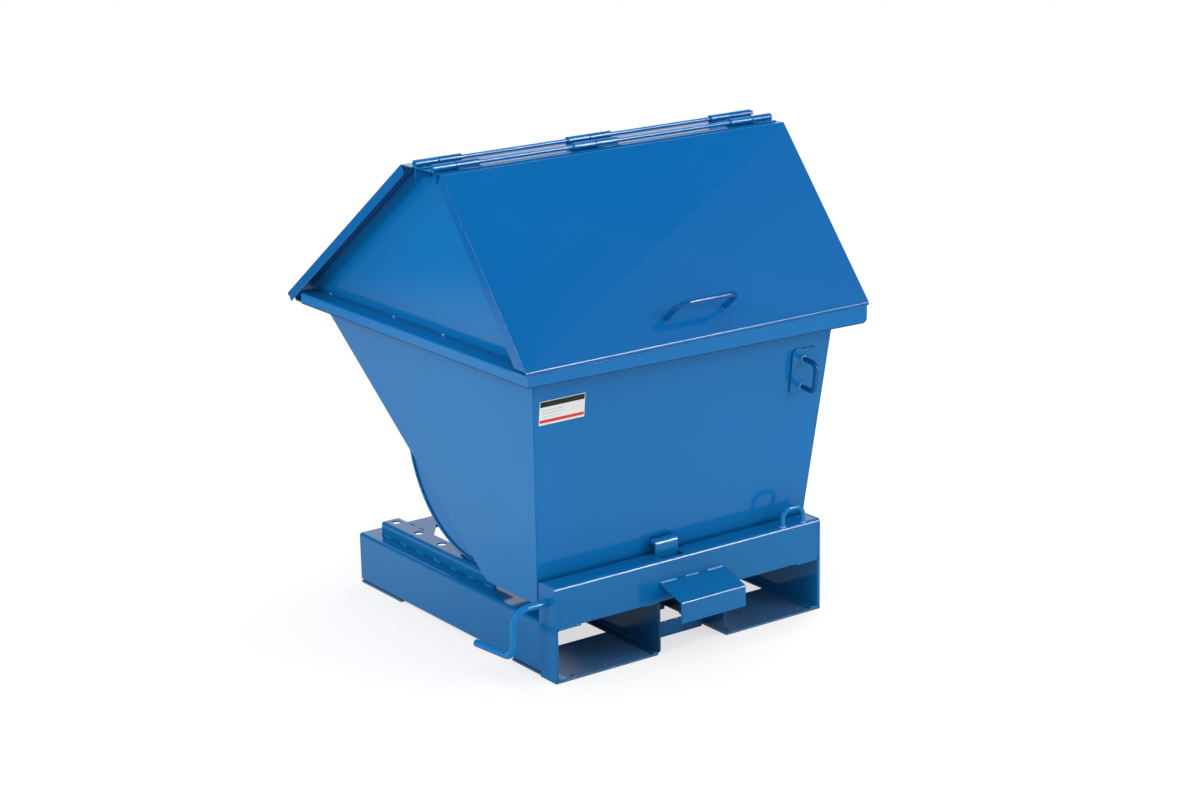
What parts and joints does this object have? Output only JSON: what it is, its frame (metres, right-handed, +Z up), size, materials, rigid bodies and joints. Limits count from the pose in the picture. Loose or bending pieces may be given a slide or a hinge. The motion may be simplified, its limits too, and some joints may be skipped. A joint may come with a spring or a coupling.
{
  "type": "self-dumping forklift skip with two-leaf lid",
  "caption": "Roll-tipping steel skip on a fork-pocket base, with curved rockers, a lever latch and a gable-shaped two-leaf hinged lid.",
  "frame": {"origin": "on the ground under the middle of the overall box with the lid closed", "axes": "+X to the right seen from the fork-entry end, +Y towards the pouring side that the hopper rolls to, +Z up"},
  "size_m": [1.0012, 1.0916, 1.195],
  "materials": {
    "body_paint": "glossy mid-blue enamel with light orange peel",
    "lid_paint": "glossy saturated blue enamel",
    "buffer_rubber": "matt black rubber",
    "label_white": "satin plate with a black and a red band"
  },
  "bodies": {
    "base": {"outer_channel_left": "body_paint", "outer_channel_right": "body_paint", "inner_channel_left": "body_paint", "inner_channel_right": "body_paint", "end_plate_left": "body_paint", "end_plate_right": "body_paint", "rear_beam": "body_paint", "floor_plate_rear_left": "body_paint", "floor_plate_rear_right": "body_paint", "floor_plate_front_left": "body_paint", "floor_plate_front_right": "body_paint", "cross_strip_rear": "body_paint", "cross_strip_middle": "body_paint", "cross_strip_front": "body_paint", "track_rail_left": "body_paint", "track_rail_right": "body_paint", "deck_plate": "body_paint", "rear_hood": "body_paint", "beam_loop": "body_paint", "rest_buffers": "buffer_rubber", "shaft_brackets": "body_paint"},
    "latch": {"latch_lever": "body_paint", "latch_hook": "body_paint", "shaft_collar": "body_paint"},
    "roll_carrier": {"roll_centre_studs": "body_paint"},
    "hopper": {"side_sheet_left": "body_paint", "side_sheet_right": "body_paint", "rear_wall": "body_paint", "slope_plate": "body_paint", "floor_sheet": "body_paint", "rocker_web_left": "body_paint", "rocker_web_right": "body_paint", "rocker_tread_left": "body_paint", "rocker_tread_right": "body_paint", "rocker_pegs": "body_paint", "rim_left": "body_paint", "rim_right": "body_paint", "rim_rear": "body_paint", "rim_front": "body_paint", "gable_left": "body_paint", "gable_right": "body_paint", "ridge_channel": "body_paint", "hinge_rod_rear": "body_paint", "hinge_rod_front": "body_paint", "fixed_knuckles_rear": "body_paint", "fixed_knuckles_front": "body_paint", "eye_backing_plate": "body_paint", "hopper_eye": "body_paint", "latch_striker": "body_paint", "label_plate": "label_white"},
    "rear_lid": {"rear_lid": "lid_paint", "rear_lid_knuckles": "lid_paint", "rear_lid_handle": "lid_paint"},
    "front_lid": {"front_lid": "lid_paint", "front_lid_knuckles": "lid_paint", "front_lid_handle": "lid_paint"}
  },
  "joints": [
    {"name": "latch_lift", "type": "hinge", "parent": "base", "child": "latch", "pos_m": [0, -0.42805, 0.193], "axis": [1, 0, 0], "range_deg": [0, 30]},
    {"name": "roll_travel", "type": "slide", "parent": "base", "child": "roll_carrier", "axis": [0, 1, 0], "range_m": [0, 0.39]},
    {"name": "hopper_roll", "type": "hinge", "parent": "roll_carrier", "child": "hopper", "pos_m": [0, -0.03435, 0.46355], "axis": [-1, 0, 0], "range_deg": [0, 75]},
    {"name": "rear_lid_hinge", "type": "hinge", "parent": "hopper", "child": "rear_lid", "pos_m": [0, -0.15485, 1.186], "axis": [-1, 0, 0], "range_deg": [0, 130]},
    {"name": "front_lid_hinge", "type": "hinge", "parent": "hopper", "child": "front_lid", "pos_m": [0, -0.08085, 1.186], "axis": [1, 0, 0], "range_deg": [0, 116]}
  ],
  "couplings": [
    {"joint": "roll_travel", "follows": "hopper_roll", "m_per_rad": 0.296}
  ]
}
